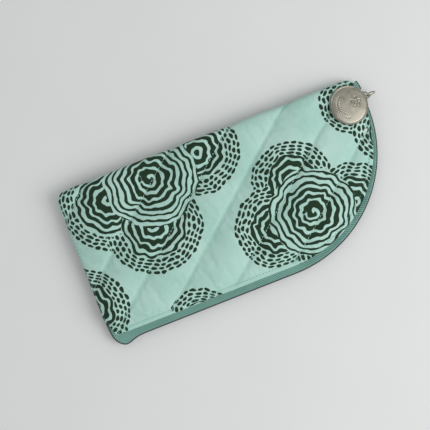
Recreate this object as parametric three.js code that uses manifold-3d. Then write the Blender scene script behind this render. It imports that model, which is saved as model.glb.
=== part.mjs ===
// Quilted cotton brush case that zips round three sides and opens flat like a book.
// Millimetres. X runs from the square end to the curved end, Y points to the spine and Z is up.
// Closed and lying on its back leaf: the spine is at +Y, and the zip runs along the square end,
// the long edge at -Y and the curved end.
import * as THREE from "three";
import { mergeVertices } from "three/addons/utils/BufferGeometryUtils.js";
import Module from "manifold-3d";

const library = await Module();
library.setup();
const { Manifold, Mesh: ManifoldMesh } = library;

// ---- Driving dimensions -------------------------------------------------------------------

const caseLength = 228.6; // 9 in, outer edge of the zip to outer edge of the zip
const caseWidth = 114.3; // 4.5 in, zip to spine
const caseThickness = 15; // at the square end and the spine
const endRadius = 90.3; // outer edge of the zip round the curved end
const zipCornerRadius = 8; // zip round the corner of the square end
const zipPlane = 5.5; // height at which the two leaves meet
const gap = 0.3; // running clearance between neighbouring pieces

const cloth = 0.8; // quilting cotton with its backing
const wadding = 1.6;
const liningCloth = 0.5;
const tape = 0.5;

// Edge of the cloth, measured inwards from the zip's outer edge.
const clothInset = { long: 5.8, end: 2.6 };
const clothEndRadius = 86.4;
const leafCorner = { zip: 7, spine: 10 };
const spineDepth = 2.8; // from the spine's outer face to the leaves
const spineEnds = { left: 12, right: 219 };
const spineSteps = 18;
// Layers of the spine: depth of the outer side below the spine's face, and thickness.
const spineLayout = {
  outer: { depth: 0, thickness: 0.7 },
  wadding: { depth: 1, thickness: 0.8 },
  lining: { depth: 2.1, thickness: 0.4 },
};

// The leaves swell from their edge towards this point beside the spine. Each level is the share
// of the way to it and the height of the outer face there.
const swellPoint = new THREE.Vector2(22, 104);
const frontLevels = [
  [0, 7.2],
  [0.02, 8.8],
  [0.04, 9.6],
  [0.08, 10.5],
  [0.14, 11.6],
  [0.22, 13],
  [0.32, caseThickness],
];
const backLevels = [
  [0, 3.9],
  [0.01, 2.2],
  [0.03, 0.9],
  [0.06, 0],
];
const frontRim = zipPlane + 0.95;
const backRim = zipPlane - 0.95;

// Zip: the tapes lie one on the other, and the coils are at their outer edge.
const tapeReach = { outer: 2.2, inner: 9.5 };
const bindingReach = { outer: 10, inner: 12.5 };
const coilReach = { outer: 0.2, inner: 1.9 };
const tapeOffset = 0.15; // from the zip plane to the near face of each tape
const coilOffset = 0.45; // from the zip plane to the near face of each coil
const coilHeight = 1.1;
const zipStart = caseWidth - 16.6; // where the coils start on the square end
const frontZipEnd = degrees(8.3);
const backZipEnd = degrees(2.5); // short of the parked slider
const topStopSize = { start: degrees(8.5), end: degrees(9), depth: 2, low: 0.35, high: 1.7 };
const bottomStopSize = { past: 0.8, length: 1.8, depth: 2, halfHeight: 1.3 };
const endTabSize = { start: degrees(9.4), end: degrees(13.5), outer: 0.2, inner: 5.5, halfHeight: 0.6 };

// Slider, ring and charm. The slider is parked at this angle round the curved end.
const sliderAngle = degrees(5.5);
const sliderLength = 8;
const sliderHeight = 4.6;
const sliderWall = 0.5;
const sliderPlate = { outer: 1, inner: 0.1 };
const sliderDivider = { outer: 0.5, halfHeight: 0.2 };
const bail = { length: 5.8, bar: 0.8, barCentre: 3.1, start: 0.6, window: 0.9, end: 1 };
const ring = { radius: 3.1, wire: 0.4, lean: degrees(20), out: 4.8, up: 1.03, along: -0.38 };
const charm = { radius: 14, rim: 0.9, dome: 2.4, bevel: 0.3, in: 13.3, tilt: degrees(11.5) };
const eyelet = {
  radius: 1.75,
  hole: 0.95,
  thickness: 0.8,
  root: 3.5,
  out: 2.27,
  height: 7.75,
  along: -0.97,
};

// Brush pocket on the back lining; the brushes lie along the case.
const pocket = { left: 13, right: 112, bottom: 17, top: 101, thickness: 0.6 };
const pocketBinding = { width: 3, thickness: 0.8 };
const label = { left: 150, bottom: 86, width: 20, height: 12, thickness: 0.3 };

const endCentre = new THREE.Vector2(caseLength - endRadius, endRadius);
const backStack = cloth + wadding + liningCloth + 2 * gap; // underside to lining top

// ---- Materials ----------------------------------------------------------------------------

const material = (color, roughness, metalness = 0) =>
  new THREE.MeshStandardMaterial({ color, roughness, metalness });
const printedCotton = material(0xa3d4c4, 0.9);
const liningCotton = material(0x9ccfbd, 0.9);
const whiteWadding = material(0xe9e9e4, 0.98);
const tealTape = material(0x639d8d, 0.8);
const greyCoil = material(0x463c41, 0.45);
const nickel = material(0xa8a396, 0.3, 1);
const bindingCotton = material(0x1b4a2a, 0.9);
const labelSatin = material(0xe4e6e0, 0.6);

// ---- Helpers ------------------------------------------------------------------------------

function degrees(angle) {
  return (angle * Math.PI) / 180;
}

function meshOf(name, geometry, finish) {
  const mesh = new THREE.Mesh(geometry, finish);
  mesh.name = name;
  return mesh;
}

// Points of an arc, both ends included.
function arc(x, y, radius, start, end, steps) {
  return Array.from({ length: steps + 1 }, (_, i) => {
    const angle = start + ((end - start) * i) / steps;
    return new THREE.Vector2(x + radius * Math.cos(angle), y + radius * Math.sin(angle));
  });
}

// Closed solid through a stack of loops with equal numbers of points, capped at both ends.
function stackedSolid(loops) {
  const count = loops[0].length;
  const index = [];
  for (let level = 0; level < loops.length - 1; level++)
    for (let i = 0; i < count; i++) {
      const a = level * count + i;
      const b = level * count + ((i + 1) % count);
      index.push(a, b, b + count, a, b + count, a + count);
    }
  const cap = (loop, first, flip) =>
    THREE.ShapeUtils.triangulateShape(
      loop.map((p) => new THREE.Vector2(p.x, p.y)),
      [],
    ).forEach(([a, b, c]) =>
      index.push(...(flip ? [first + a, first + c, first + b] : [first + a, first + b, first + c])),
    );
  cap(loops[0], 0, true);
  cap(loops.at(-1), (loops.length - 1) * count, false);
  return new THREE.BufferGeometry()
    .setAttribute("position", new THREE.Float32BufferAttribute(loops.flat().flatMap((p) => p.toArray()), 3))
    .setIndex(index);
}

function solidOf(geometry) {
  const bare = geometry.clone();
  bare.deleteAttribute("normal");
  bare.deleteAttribute("uv");
  const merged = mergeVertices(bare, 1e-4);
  return new Manifold(
    new ManifoldMesh({
      numProp: 3,
      vertProperties: merged.attributes.position.array,
      triVerts: new Uint32Array(merged.index.array),
    }),
  );
}

function geometryOf(solid) {
  const mesh = solid.getMesh();
  return new THREE.BufferGeometry()
    .setAttribute("position", new THREE.BufferAttribute(mesh.vertProperties, 3))
    .setIndex(new THREE.BufferAttribute(mesh.triVerts, 1));
}

function joined(...geometries) {
  return geometryOf(geometries.map(solidOf).reduce((whole, piece) => whole.add(piece)));
}

function extruded(points, bottom, top, holes = []) {
  const shape = new THREE.Shape(points);
  shape.holes = holes.map((hole) => new THREE.Path(hole));
  const geometry = new THREE.ExtrudeGeometry(shape, { depth: top - bottom, bevelEnabled: false });
  return geometry.translate(0, 0, bottom);
}

function box(left, right, front, back, bottom, top) {
  return new THREE.BoxGeometry(right - left, back - front, top - bottom).translate(
    (left + right) / 2,
    (front + back) / 2,
    (bottom + top) / 2,
  );
}

// ---- Leaves -------------------------------------------------------------------------------

const leafTop = caseWidth - spineDepth;
const leafOutline = (() => {
  const { long, end } = clothInset;
  const centreX = caseLength - end - clothEndRadius;
  const centreY = long + clothEndRadius;
  const tip = Math.asin((leafTop - centreY) / clothEndRadius);
  const { zip, spine } = leafCorner;
  return [
    ...arc(end + zip, long + zip, zip, Math.PI, 1.5 * Math.PI, 4),
    ...arc(centreX, centreY, clothEndRadius, -Math.PI / 2, tip, 22),
    ...arc(end + spine, leafTop - spine, spine, Math.PI / 2, Math.PI, 4),
  ];
})();
const leafBox = new THREE.Box2().setFromPoints(leafOutline);

// Leaf outline drawn in by an inset all round, then by a share of the way to the swell point.
function leafLoop(inset, share, height) {
  const centre = leafBox.getCenter(new THREE.Vector2());
  const size = leafBox.getSize(new THREE.Vector2());
  const scaleX = 1 - (2 * inset) / size.x;
  const scaleY = 1 - (2 * inset) / size.y;
  return leafOutline.map((p) => {
    const x = centre.x + (p.x - centre.x) * scaleX;
    const y = centre.y + (p.y - centre.y) * scaleY;
    return new THREE.Vector3(
      x + (swellPoint.x - x) * share,
      y + (swellPoint.y - y) * share,
      height,
    );
  });
}

// One face of a layer: its loops from the rim to the flat middle, at a depth below the outer face.
function layerFace(levels, rim, depth) {
  const full = levels.at(-1)[1] - rim;
  const part = (full - Math.sign(full) * depth) / full;
  return [
    leafLoop(depth, 0, rim),
    ...levels.map(([share, height]) => leafLoop(depth, share, rim + (height - rim) * part)),
  ];
}

// A dished layer of a leaf, between two depths below its outer face.
function leafLayer(levels, rim, outerDepth, thickness) {
  const outer = layerFace(levels, rim, outerDepth);
  const inner = layerFace(levels, rim, outerDepth + thickness);
  const faceUp = levels.at(-1)[1] > rim;
  return stackedSolid(
    faceUp ? [...inner.reverse(), ...outer] : [...outer.reverse(), ...inner],
  );
}

function leafLayers(side, levels, rim) {
  const waddingDepth = cloth + gap;
  const liningDepth = waddingDepth + wadding + gap;
  return [
    meshOf(side + "_outer_panel", leafLayer(levels, rim, 0, cloth), printedCotton),
    meshOf(side + "_wadding", leafLayer(levels, rim, waddingDepth, wadding), whiteWadding),
    meshOf(side + "_lining", leafLayer(levels, rim, liningDepth, liningCloth), liningCotton),
  ];
}

// ---- Spine --------------------------------------------------------------------------------

// Height of the leaves' outer face beside the spine, at a place along the case.
function heightBesideSpine(levels, x) {
  const share = 1 - (x - swellPoint.x) / (leafBox.max.x - swellPoint.x);
  const next = levels.findIndex((level) => level[0] > share);
  if (next < 0) return levels.at(-1)[1];
  if (next === 0) return levels[0][1];
  const [shareA, heightA] = levels[next - 1];
  const [shareB, heightB] = levels[next];
  return THREE.MathUtils.mapLinear(share, shareA, shareB, heightA, heightB);
}

function spineLayer({ depth, thickness }) {
  const stations = Array.from({ length: spineSteps + 1 }, (_, i) =>
    THREE.MathUtils.lerp(spineEnds.left, spineEnds.right, i / spineSteps),
  );
  const upper = stations.map((x) => new THREE.Vector2(x, heightBesideSpine(frontLevels, x) - gap));
  const lower = stations.map((x) => new THREE.Vector2(x, heightBesideSpine(backLevels, x) + gap));
  return extruded([...lower, ...upper.reverse()], 0, thickness)
    .rotateX(Math.PI / 2)
    .translate(0, caseWidth - depth, 0);
}

function spineLayers() {
  return [
    meshOf("spine_outer", spineLayer(spineLayout.outer), printedCotton),
    meshOf("spine_wadding", spineLayer(spineLayout.wadding), whiteWadding),
    meshOf("spine_lining", spineLayer(spineLayout.lining), liningCotton),
  ];
}

// ---- Zip ----------------------------------------------------------------------------------

// Line of the zip at an inset from its outer edge, from the square end round to an angle.
function zipLine(inset, end) {
  const corner = Math.max(zipCornerRadius - inset, 1);
  return [
    new THREE.Vector2(inset, zipStart),
    ...arc(inset + corner, inset + corner, corner, Math.PI, 1.5 * Math.PI, 4),
    ...arc(endCentre.x, endCentre.y, endRadius - inset, -Math.PI / 2, end, 26),
  ];
}

function zipRibbon(reach, end, bottom, top) {
  return extruded([...zipLine(reach.outer, end), ...zipLine(reach.inner, end).reverse()], bottom, top);
}

// A ribbon on one side of the zip plane: side is 1 above it and -1 below it.
function zipSide(reach, end, side, offset, thickness) {
  const near = zipPlane + side * offset;
  const far = near + side * thickness;
  return zipRibbon(reach, end, Math.min(near, far), Math.max(near, far));
}

// Block that follows the curved end between two angles.
function endSector(outer, inner, start, end, bottom, top) {
  return extruded(
    [
      ...arc(endCentre.x, endCentre.y, endRadius + outer, start, end, 4),
      ...arc(endCentre.x, endCentre.y, endRadius + inner, end, start, 4),
    ],
    bottom,
    top,
  );
}

function zipPieces(side) {
  const name = side > 0 ? "front" : "back";
  const end = side > 0 ? frontZipEnd : backZipEnd;
  return [
    meshOf("zip_tape_" + name, zipSide(tapeReach, end, side, tapeOffset, tape), tealTape),
    meshOf("zip_coil_" + name, zipSide(coilReach, end, side, coilOffset, coilHeight), greyCoil),
    meshOf(name + "_seam_binding", zipSide(bindingReach, end, side, tapeOffset, tape), bindingCotton),
  ];
}

function topStop() {
  const { start, end, depth, low, high } = topStopSize;
  const block = endSector(0, -depth, start, end, zipPlane + low, zipPlane + high);
  return meshOf("zip_top_stop", block, nickel);
}

function bottomStop() {
  const { past, length, depth, halfHeight } = bottomStopSize;
  const left = coilReach.outer;
  const front = zipStart + past;
  const low = zipPlane - halfHeight;
  const high = zipPlane + halfHeight;
  return meshOf("zip_bottom_stop", box(left, left + depth, front, front + length, low, high), nickel);
}

// Fold of tape sewn over the end of the zip beyond the slider.
function endTab() {
  const { start, end, outer, inner, halfHeight } = endTabSize;
  const block = endSector(-outer, -inner, start, end, zipPlane - halfHeight, zipPlane + halfHeight);
  return meshOf("zip_end_tab", block, tealTape);
}

// ---- Slider, ring and charm ---------------------------------------------------------------

// These are drawn with the slider at angle 0, and then turned to where it is parked.
function sliderGeometry() {
  const half = sliderLength / 2 / endRadius;
  const low = zipPlane - sliderHeight / 2;
  const high = zipPlane + sliderHeight / 2;
  const inner = -coilReach.inner;
  const { outer, inner: face } = sliderPlate;
  const middle = (outer + face) / 2;
  const rib = sliderDivider.halfHeight;
  const plate = endSector(outer, face, -half, half, low, high);
  const upperFlange = endSector(middle, inner, -half, half, high - sliderWall, high);
  const lowerFlange = endSector(middle, inner, -half, half, low, low + sliderWall);
  const divider = endSector(sliderDivider.outer, inner, -half, half, zipPlane - rib, zipPlane + rib);
  const x = endCentre.x + endRadius;
  const y = endCentre.y;
  const bar = bail.bar / 2;
  const outside = bail.length / 2;
  const inside = outside - bail.end;
  const reach = x + bail.barCentre;
  const frame = [
    new THREE.Vector2(x + bail.start, y - outside),
    new THREE.Vector2(reach - bar, y - outside),
    new THREE.Vector2(reach + bar, y - inside),
    new THREE.Vector2(reach + bar, y + inside),
    new THREE.Vector2(reach - bar, y + outside),
    new THREE.Vector2(x + bail.start, y + outside),
  ];
  const window = [
    new THREE.Vector2(x + bail.window, y - inside),
    new THREE.Vector2(x + bail.window, y + inside),
    new THREE.Vector2(reach - bar, y + inside),
    new THREE.Vector2(reach - bar, y - inside),
  ];
  const bailFrame = extruded(frame, zipPlane - bar, zipPlane + bar, [window]);
  return joined(plate, upperFlange, lowerFlange, divider, bailFrame);
}

function ringGeometry() {
  return new THREE.TorusGeometry(ring.radius, ring.wire, 8, 24)
    .rotateX(Math.PI / 2)
    .rotateX(ring.lean)
    .translate(
      endCentre.x + endRadius + ring.out,
      endCentre.y + ring.along,
      zipPlane + ring.up,
    );
}

function charmGeometry() {
  const crown = [1, 0.85, 0.7, 0.5, 0.25].map((share) => {
    const radius = (charm.radius - charm.bevel) * share;
    return new THREE.Vector2(radius, charm.rim + (charm.dome - charm.rim) * (1 - share * share));
  });
  const profile = [
    new THREE.Vector2(0, 0),
    new THREE.Vector2(charm.radius - charm.bevel, 0),
    new THREE.Vector2(charm.radius, charm.bevel),
    new THREE.Vector2(charm.radius, charm.rim - charm.bevel),
    ...crown,
    new THREE.Vector2(0, charm.dome),
  ];
  const eyeletReach = (eyelet.out + charm.in) / Math.cos(charm.tilt);
  const disc = new THREE.LatheGeometry(profile, 32).rotateX(Math.PI / 2).translate(-eyeletReach, 0, 0);
  const tab = [
    new THREE.Vector2(-eyelet.root, eyelet.radius),
    new THREE.Vector2(-eyelet.root, -eyelet.radius),
    ...arc(0, 0, eyelet.radius, -Math.PI / 2, Math.PI / 2, 8),
  ];
  const hole = arc(0, 0, eyelet.hole, 0, 2 * Math.PI, 12).slice(0, -1).reverse();
  return joined(disc, extruded(tab, 0, eyelet.thickness, [hole]))
    .rotateY(charm.tilt)
    .translate(endCentre.x + endRadius + eyelet.out, endCentre.y + eyelet.along, eyelet.height);
}

function turnedToSlider(geometry) {
  return geometry
    .translate(-endCentre.x, -endCentre.y, 0)
    .rotateZ(sliderAngle)
    .translate(endCentre.x, endCentre.y, 0);
}

function pullPieces() {
  return [
    meshOf("zip_slider", turnedToSlider(sliderGeometry()), nickel),
    meshOf("pull_ring", turnedToSlider(ringGeometry()), nickel),
    meshOf("charm_disc", turnedToSlider(charmGeometry()), nickel),
  ];
}

// ---- Fittings inside the back leaf --------------------------------------------------------

function insideFittings() {
  const floor = backStack + gap;
  const { left, right, bottom, top, thickness } = pocket;
  const bindingLeft = right + gap;
  return [
    meshOf(
      "brush_pocket_panel",
      box(left, right, bottom, top, floor, floor + thickness),
      liningCotton,
    ),
    meshOf(
      "brush_pocket_binding",
      box(
        bindingLeft,
        bindingLeft + pocketBinding.width,
        bottom,
        top,
        floor,
        floor + pocketBinding.thickness,
      ),
      bindingCotton,
    ),
    meshOf(
      "care_label",
      box(
        label.left,
        label.left + label.width,
        label.bottom,
        label.bottom + label.height,
        floor,
        floor + label.thickness,
      ),
      labelSatin,
    ),
  ];
}

// ---- Assembly -----------------------------------------------------------------------------

const frontLeaf = new THREE.Group().add(
  ...leafLayers("front", frontLevels, frontRim),
  ...zipPieces(1),
  topStop(),
);
const backLeaf = new THREE.Group().add(
  ...leafLayers("back", backLevels, backRim),
  ...zipPieces(-1),
  bottomStop(),
  endTab(),
  ...insideFittings(),
);
const spine = new THREE.Group().add(...spineLayers());
const pull = new THREE.Group().add(...pullPieces());

const brushCase = new THREE.Group().add(backLeaf, spine, frontLeaf, pull);

// The frame's origin is the middle of the underside of the whole object's box.
const extent = new THREE.Box3().setFromObject(brushCase, true);
const middle = extent.getCenter(new THREE.Vector3());
brushCase.position.set(-middle.x, -middle.y, -extent.min.z);

export default brushCase;
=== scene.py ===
import math

import bpy
import numpy as np
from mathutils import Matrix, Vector, noise
from mathutils.bvhtree import BVHTree
from mathutils.geometry import delaunay_2d_cdt
from mathutils.interpolate import poly_3d_calc


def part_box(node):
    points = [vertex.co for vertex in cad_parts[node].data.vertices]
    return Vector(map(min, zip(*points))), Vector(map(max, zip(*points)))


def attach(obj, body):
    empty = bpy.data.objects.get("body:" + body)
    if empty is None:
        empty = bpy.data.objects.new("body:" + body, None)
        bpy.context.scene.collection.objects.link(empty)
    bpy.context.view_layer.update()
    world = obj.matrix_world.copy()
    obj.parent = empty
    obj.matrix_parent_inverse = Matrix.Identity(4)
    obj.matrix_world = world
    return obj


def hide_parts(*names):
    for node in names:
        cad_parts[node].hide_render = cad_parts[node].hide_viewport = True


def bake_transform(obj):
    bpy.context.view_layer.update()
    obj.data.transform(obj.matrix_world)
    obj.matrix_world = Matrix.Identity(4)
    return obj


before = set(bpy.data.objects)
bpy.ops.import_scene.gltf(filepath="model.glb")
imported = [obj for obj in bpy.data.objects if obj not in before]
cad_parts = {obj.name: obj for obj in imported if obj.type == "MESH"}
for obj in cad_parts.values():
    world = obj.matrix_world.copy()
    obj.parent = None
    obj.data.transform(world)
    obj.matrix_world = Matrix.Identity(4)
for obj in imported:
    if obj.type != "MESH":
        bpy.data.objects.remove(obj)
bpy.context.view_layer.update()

# Shapes are drawn in case coordinates, in millimetres: X from the square end, Y from the zip on
# the long edge, Z up from the table. The zip's coil lies coil_inset inside the case's outline.
MM = 0.001
coil_inset = 0.2
coil_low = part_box("zip_coil_front")[0] / MM
ORIGIN = np.array([coil_low.x - coil_inset, coil_low.y - coil_inset, 0.0])

WIDTH = 114.3  # zip to spine
ZIP_PLANE = 5.5  # the two leaves are mirrored about this height at the zip


def smooth(t):
    t = np.clip(t, 0.0, 1.0)
    return t * t * (3 - 2 * t)


def mix(a, b, t):
    return a + (b - a) * t


# ---- Mesh helpers ----------------------------------------------------------------------------


def mesh_piece(name, points, faces, material, uv=None):
    """A mesh object from points in case millimetres; uv holds one millimetre pair per point."""
    mesh = bpy.data.meshes.new(name)
    mesh.from_pydata(((points + ORIGIN) * MM).tolist(), [], [list(map(int, f)) for f in faces])
    if uv is not None:
        layer = mesh.uv_layers.new(name="cloth")
        corner = np.zeros(len(mesh.loops), np.int32)
        mesh.loops.foreach_get("vertex_index", corner)
        layer.data.foreach_set("uv", (uv[corner] * MM).astype(np.float32).ravel())
    mesh.materials.append(material)
    mesh.shade_smooth()
    mesh.validate()
    piece = bpy.data.objects.new(name, mesh)
    bpy.context.collection.objects.link(piece)
    return piece


def run_lengths(points):
    """Distance along a polyline at each of its points."""
    steps = np.linalg.norm(np.diff(points, axis=0), axis=1)
    return np.concatenate([[0], np.cumsum(steps)])


def at_runs(runs, lengths, points):
    """Points at distances along a polyline."""
    return np.stack([np.interp(runs, lengths, points[:, i]) for i in range(points.shape[1])], 1)


def grid_faces(rows, columns, closed_columns=False, closed_rows=False):
    """Quads over a grid whose points are numbered row by row."""
    r = np.arange(rows if closed_rows else rows - 1)[:, None]
    c = np.arange(columns if closed_columns else columns - 1)[None, :]
    up, right = (r + 1) % rows, (c + 1) % columns
    quads = [r * columns + c, r * columns + right, up * columns + right, up * columns + c]
    return np.stack([q + 0 * (r + c) for q in quads], -1).reshape(-1, 4)


def grid_rim(rows, columns):
    """Point numbers round the edge of a grid, from its first row on."""
    rim = list(range(columns))
    rim += [r * columns + columns - 1 for r in range(1, rows)]
    rim += [(rows - 1) * columns + c for c in range(columns - 2, -1, -1)]
    return rim + [r * columns for r in range(rows - 2, 0, -1)]


def strip_faces(rows, count):
    """Faces of a strip with a closed section of several rows, and of its two flat ends."""
    faces = [tuple(q) for q in grid_faces(rows, count, closed_rows=True)]
    faces.append(tuple(r * count for r in reversed(range(rows))))
    faces.append(tuple(r * count + count - 1 for r in range(rows)))
    return faces


def flipped(faces):
    return [tuple(reversed(f)) for f in faces]


def arc(x, y, radius, start, end, steps):
    """Points of an arc, the last one left out."""
    angle = np.linspace(start, end, steps + 1)[:-1]
    return np.stack([x + radius * np.cos(angle), y + radius * np.sin(angle)], 1)


def straight(start, end, steps):
    t = np.linspace(0, 1, steps + 1)[:-1, None]
    return np.asarray(start) + (np.asarray(end) - np.asarray(start)) * t


def along(points, count):
    """The polyline's points respaced evenly, on a smooth curve through them."""
    points = np.asarray(points, float)
    padded = np.vstack([2 * points[0] - points[1], points, 2 * points[-1] - points[-2]])
    t = np.linspace(0, 1, 12, endpoint=False)[:, None]
    curve = []
    for p0, p1, p2, p3 in zip(padded, padded[1:], padded[2:], padded[3:]):
        curve.append(
            0.5
            * (2 * p1 + (p2 - p0) * t + (2 * p0 - 5 * p1 + 4 * p2 - p3) * t**2
               + (3 * p1 - p0 - 3 * p2 + p3) * t**3)
        )
    curve = np.vstack([*curve, points[-1:]])
    lengths = run_lengths(curve)
    return at_runs(np.linspace(0, lengths[-1], count), lengths, curve)


def tube(points, radius, sides, closed=False):
    """Points and faces of a round tube along a path."""
    tangent = np.gradient(points, axis=0)
    if closed:
        tangent = np.roll(points, -1, axis=0) - np.roll(points, 1, axis=0)
    tangent /= np.linalg.norm(tangent, axis=1, keepdims=True)
    start = np.cross(tangent[0], (0.13, 0.21, 1.0))
    across = [start / np.linalg.norm(start)]
    for t in tangent[1:]:
        turned = across[-1] - t * (across[-1] @ t)
        across.append(turned / np.linalg.norm(turned))
    across = np.array(across)
    up = np.cross(tangent, across)
    angle = np.linspace(0, 2 * math.pi, sides, endpoint=False)
    ring = across[:, None] * np.cos(angle)[None, :, None] + up[:, None] * np.sin(angle)[None, :, None]
    made = points[:, None] + radius * ring
    faces = [tuple(q) for q in grid_faces(len(points), sides, closed_columns=True, closed_rows=closed)]
    if not closed:
        faces.append(tuple(reversed(range(sides))))
        faces.append(tuple((len(points) - 1) * sides + i for i in range(sides)))
    return made.reshape(-1, 3), faces


def merged(parts):
    """Several (points, faces) as one."""
    points, faces, start = [], [], 0
    for p, f in parts:
        points.append(p)
        faces += [tuple(i + start for i in face) for face in f]
        start += len(p)
    return np.vstack(points), faces


def normals_of(points, faces):
    """Smooth point normals of a mesh whose faces have three or four corners."""
    corners = np.array([(*f, f[-1])[:4] for f in faces], int)
    face = np.cross(
        points[corners[:, 2]] - points[corners[:, 0]], points[corners[:, 3]] - points[corners[:, 1]]
    )
    normal = np.zeros_like(points)
    for c in range(4):
        np.add.at(normal, corners[:, c], face)
    return normal / np.maximum(np.linalg.norm(normal, axis=1, keepdims=True), 1e-9)


def rough(points, size, seed):
    """Smooth noise from -1 to 1 at each point; size is the width of a bump."""
    shift = Vector((seed * 7.3, seed * 3.1, seed * 5.7))
    return np.array([noise.noise(Vector(p) / size + shift) for p in points])


# ---- Leaves: outline and height ----------------------------------------------------------------

EDGE = {"left": 0.3, "long": 5.8, "spine": WIDTH}
END_CENTRE = np.array([139.6, 92.2])
END_RADIUS = 86.4
CORNER = {"zip": 3.0, "tip": 4.0, "spine": 6.0}
BAND = 8.0  # width of the edge band that rolls over to the zip and the spine
STEPS = {"zip_corner": 8, "long": 112, "end": 128, "tip": 8, "spine": 172, "spine_corner": 16,
         "left": 78}
ROWS = 22
CELL = 1.3


def outline(inset):
    """Plan outline of a leaf drawn in by an inset, anticlockwise from the square end's zip corner."""
    left, low, high = EDGE["left"] + inset, EDGE["long"] + inset, EDGE["spine"] - inset
    radius = END_RADIUS - inset
    zip_corner = max(CORNER["zip"] - inset, 0.6)
    tip = max(CORNER["tip"] - inset, 1.0)
    spine = max(CORNER["spine"] - inset, 2.0)
    tip_y = high - tip
    tip_angle = math.asin((tip_y - END_CENTRE[1]) / (radius - tip))
    tip_x = END_CENTRE[0] + (radius - tip) * math.cos(tip_angle)
    turn = math.pi
    return np.vstack([
        arc(left + zip_corner, low + zip_corner, zip_corner, turn, 1.5 * turn, STEPS["zip_corner"]),
        straight((left + zip_corner, low), (END_CENTRE[0], low), STEPS["long"]),
        arc(*END_CENTRE, radius, -turn / 2, tip_angle, STEPS["end"]),
        arc(tip_x, tip_y, tip, tip_angle, turn / 2, STEPS["tip"]),
        straight((tip_x, high), (left + spine, high), STEPS["spine"]),
        arc(left + spine, high - spine, spine, turn / 2, turn, STEPS["spine_corner"]),
        straight((left, high - spine), (left, low + zip_corner), STEPS["left"]),
    ])


def zip_distance(x, y):
    """Distance from the cloth's edge on the zip side."""
    around = END_RADIUS - np.hypot(x - END_CENTRE[0], y - END_CENTRE[1])
    return np.where(x < END_CENTRE[0], y - EDGE["long"], around)


def edge_distance(x, y):
    """How far in from the zip a point counts as lying: the square end swells twice as fast."""
    slow = 1 + smooth((x - 150) / 70)
    side = zip_distance(x, y) / slow
    end = 2.2 * (x - EDGE["left"])
    soft = 3.0
    low = np.minimum(side, end)
    return low - soft * np.log1p(np.exp(-np.abs(side - end) / soft))


def front_height(x, y):
    return 8.4 + 6.6 * (1 - np.exp(-np.maximum(edge_distance(x, y), 0) / 15))


def back_height(x, y):
    return 3.0 * np.exp(-np.maximum(edge_distance(x, y), 0) / 2.6)


# Each profile runs from the rim up and inwards: distance in from the silhouette, and height.
ZIP_PROFILE = [(0.9, 6.35), (0.25, 6.5), (0, 7.0), (0.1, 7.6), (0.5, 8.15), (1.3, 8.5), (2.3, 8.75),
               (3.2, 8.7), (4.2, 9.25), (5.6, 9.95), (BAND, 10.9)]
LEFT_PROFILE = [(3.2, 6.5), (2.2, 7.35), (1.1, 7.9), (0.3, 8.7), (0, 9.6), (0.2, 10.7), (1.1, 12.0),
                (2.4, 12.9), (4.0, 13.6), (5.8, 14.1), (BAND, 14.4)]
SPINE_PROFILE = [(0, 10), (0, 10.5), (0.25, 11.9), (1.0, 13.2), (2.2, 14.3), (3.6, 14.85),
                 (5.2, 15.0), (BAND, 15.0)]
RIM = 0.85  # rim to zip plane
ZIP_START = 97.7  # where the zip starts on the square end


def profile(points):
    """Inset and share of the height at each row of the edge band."""
    even = along(points, ROWS + 1)
    low, high = points[0][1], points[-1][1]
    return even[:, 0], (even[:, 1] - low) / (high - low)


def spine_strip(x, front):
    """Height above or below the zip plane at which a leaf's cloth gives way to the spine's."""
    rise, fall = (4.3, 0.8) if front else (0.7, 0.0)
    return 0.15 + rise * smooth((x - 10.3) / 7) * (1 - fall * smooth((x - 150) / 66))


def side_weights(loop, front):
    """Shares of the left, zip and spine profiles, and the rim's distance from the zip plane."""
    total = len(loop)
    ends = np.cumsum(list(STEPS.values()))
    index = np.arange(total)
    left = np.zeros(total)
    on_left = (index >= ends[5]) | (index < ends[0])
    left[on_left] = smooth((loop[on_left, 1] - EDGE["long"]) / 14)
    corner = (index >= ends[4]) & (index < ends[5])
    turned = smooth((index - ends[4]) / STEPS["spine_corner"])
    left[corner] = turned[corner]
    spine = np.zeros(total)
    tip = (index >= ends[2]) & (index < ends[3])
    spine[tip] = smooth((index - ends[2]) / STEPS["tip"])[tip]
    spine[(index >= ends[3]) & (index < ends[4])] = 1
    spine[corner] = 1 - turned[corner]
    rim = RIM * (1 - smooth((loop[:, 1] - 95) / 6) * (loop[:, 0] < 60) * 0.82)
    rim_at_spine = spine_strip(loop[ends[3], 0], front)
    rim[tip] = mix(RIM, rim_at_spine, smooth((index - ends[2]) / STEPS["tip"]))[tip]
    on_spine = (index >= ends[3]) & (index < ends[4])
    rim[on_spine] = spine_strip(loop[on_spine, 0], front)
    return left, 1 - left - spine, spine, rim


def corner_pull(points):
    """The cloth is drawn in a little where the square end meets the long side of the zip."""
    pull = 3.0 * (1 - smooth((points[:, 1] - 6) / 16)) * (1 - smooth(points[:, 0] / 30))
    moved = points.copy()
    moved[:, 0] += pull
    return moved


def low_rim(rim, front):
    return ZIP_PLANE + (rim if front else -rim)


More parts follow.
